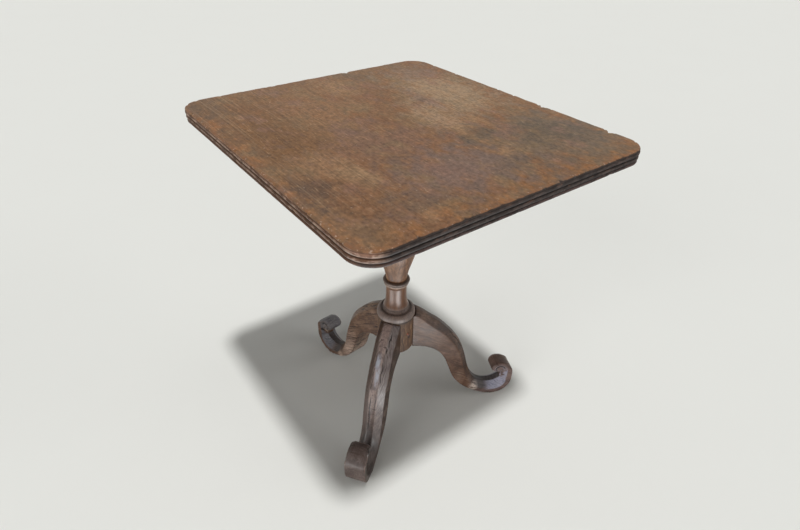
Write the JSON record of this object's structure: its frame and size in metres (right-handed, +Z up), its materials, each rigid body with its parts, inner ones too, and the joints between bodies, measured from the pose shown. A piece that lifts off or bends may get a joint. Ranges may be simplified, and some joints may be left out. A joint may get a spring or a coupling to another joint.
{
  "type": "tilt-top tripod table",
  "caption": "Wooden tripod table with a reeded, round-cornered rectangular top that tilts upright on a block, a turned column and curved legs with scroll feet.",
  "frame": {"origin": "on the floor, on the axis of the column, which is the centre of the top", "axes": "+Z up; +Y along the grain and the longer side of the top; +X across the grain, toward the pivot side of the block"},
  "size_m": [0.548, 0.607, 0.696],
  "materials": {
    "top_wood": "worn matte brown hardwood with a dark reeded edge",
    "column_wood": "warm brown turned hardwood, satin",
    "leg_wood": "grey-brown waxed hardwood, worn",
    "under_wood": "unfinished hardwood",
    "inner_wood": "plain hardwood",
    "iron": "dark iron",
    "brass": "dull old brass"
  },
  "bodies": {
    "base": {"column": "column_wood", "leg_front": "leg_wood", "leg_right": "leg_wood", "leg_rear": "leg_wood", "leg_nails": "iron", "tilt_block": "under_wood", "tenon_wedge": "inner_wood", "pivot_pin_near": "inner_wood", "pivot_pin_far": "inner_wood", "catch_keep": "brass", "keep_screws": "brass"},
    "top": {"top_board_left": "top_wood", "top_board_centre": "top_wood", "top_board_right": "top_wood", "board_dowels": "inner_wood", "bearer_near": "under_wood", "bearer_far": "under_wood", "bearer_screws": "iron", "catch_plate": "brass", "catch_screws": "brass"},
    "bolt": {"catch_bolt": "brass"}
  },
  "joints": [
    {"name": "top_tilt", "type": "hinge", "parent": "base", "child": "top", "pos_m": [0.0617, 0, 0.6527], "axis": [0, 1, 0], "range_deg": [0, 90]},
    {"name": "catch_slide", "type": "slide", "parent": "top", "child": "bolt", "axis": [1, 0, 0], "range_m": [0, 0.012]}
  ]
}
